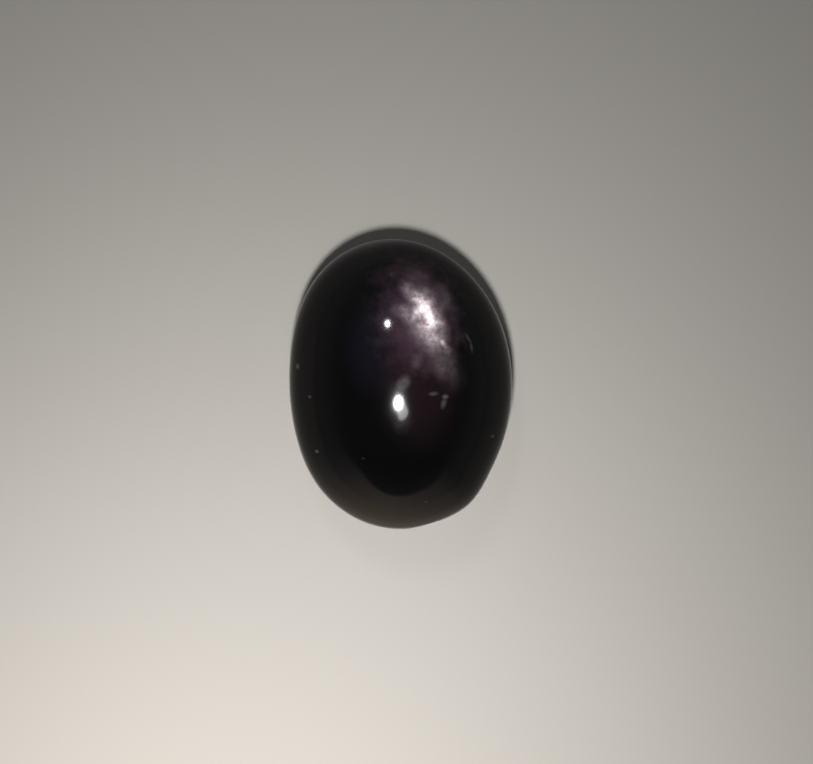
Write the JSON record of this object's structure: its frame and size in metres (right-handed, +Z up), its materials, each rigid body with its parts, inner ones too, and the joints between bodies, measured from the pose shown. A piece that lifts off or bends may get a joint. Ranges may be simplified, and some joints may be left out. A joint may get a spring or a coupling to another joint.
{
  "type": "star sapphire",
  "caption": "Oval near-black star sapphire cabochon with a polished dome and mauve silk, resting loose on the small flat spot of its belly.",
  "frame": {"origin": "on the flat spot that the stone rests on, under the middle of its bounding box", "axes": "+Z up through the dome, +Y along the stone's length towards its broad far end, +X across its width"},
  "size_m": [0.01, 0.013, 0.0066],
  "materials": {
    "polished_sapphire": "near-black sapphire, opaque to the eye, high polish on the dome and dull ground belly, with patches of mauve silk under the polish"
  },
  "bodies": {
    "root": {"star_sapphire": "polished_sapphire"}
  },
  "joints": []
}
